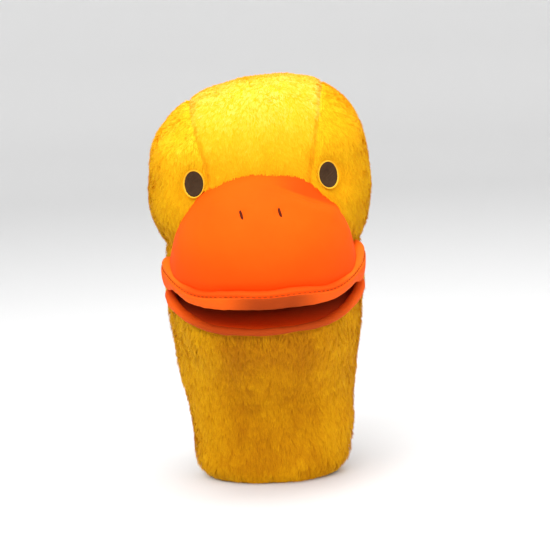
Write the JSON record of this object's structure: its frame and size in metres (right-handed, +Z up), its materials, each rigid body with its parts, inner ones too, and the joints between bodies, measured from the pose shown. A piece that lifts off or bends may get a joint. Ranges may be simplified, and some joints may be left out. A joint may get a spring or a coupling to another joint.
{
  "type": "moving mouth hand puppet",
  "caption": "Plush duck hand puppet: sleeve for the arm, stuffed head, and an orange bill whose upper and lower halves open about a fold.",
  "frame": {"origin": "centre of the sleeve's opening at the hem, where the hand goes in", "axes": "+Z up from the hem to the crown, bill towards -Y, the puppet's left-right direction along X"},
  "size_m": [0.16, 0.1808, 0.297],
  "materials": {
    "gold_plush": "matte",
    "lemon_plush": "matte",
    "bill_cloth": "matte",
    "mouth_cloth": "matte",
    "lining_cloth": "matte",
    "stuffing": "matte",
    "stiff_board": "matte",
    "eye_thread": "matte",
    "outline_thread": "matte",
    "nostril_thread": "matte",
    "bill_thread": "matte",
    "label_tape": "matte"
  },
  "bodies": {
    "sleeve": {"sleeve_front": "gold_plush", "sleeve_back": "gold_plush", "hem_band": "lining_cloth", "sleeve_lining": "lining_cloth", "care_label": "label_tape", "throat_panel": "gold_plush", "nape_panel": "gold_plush", "mouth_fold": "mouth_cloth"},
    "head": {"crown_gusset": "lemon_plush", "head_side_left": "gold_plush", "head_side_right": "gold_plush", "head_back": "gold_plush", "head_stuffing": "stuffing", "head_lining": "lining_cloth", "finger_pocket": "lining_cloth", "upper_palate": "mouth_cloth", "upper_mouth_board": "stiff_board", "upper_bill_rim": "bill_cloth", "upper_bill_cover": "bill_cloth", "upper_bill_stuffing": "stuffing", "rim_topstitch": "bill_thread", "eye_left": "eye_thread", "eye_right": "eye_thread", "eye_outline_left": "outline_thread", "eye_outline_right": "outline_thread", "nostril_left": "nostril_thread", "nostril_right": "nostril_thread"},
    "jaw": {"lower_bill_rim": "bill_cloth", "lower_palate": "mouth_cloth", "lower_mouth_board": "stiff_board", "chin_panel": "gold_plush", "thumb_pocket": "lining_cloth"}
  },
  "joints": [
    {"name": "head_lift", "type": "hinge", "parent": "sleeve", "child": "head", "pos_m": [0, -0.015, 0.138], "axis": [-1, 0, 0], "range_deg": [0, 25], "deforming": ["nape_panel"]},
    {"name": "jaw_open", "type": "hinge", "parent": "sleeve", "child": "jaw", "pos_m": [0, -0.015, 0.138], "axis": [1, 0, 0], "range_deg": [-7, 35], "deforming": ["throat_panel"]}
  ]
}
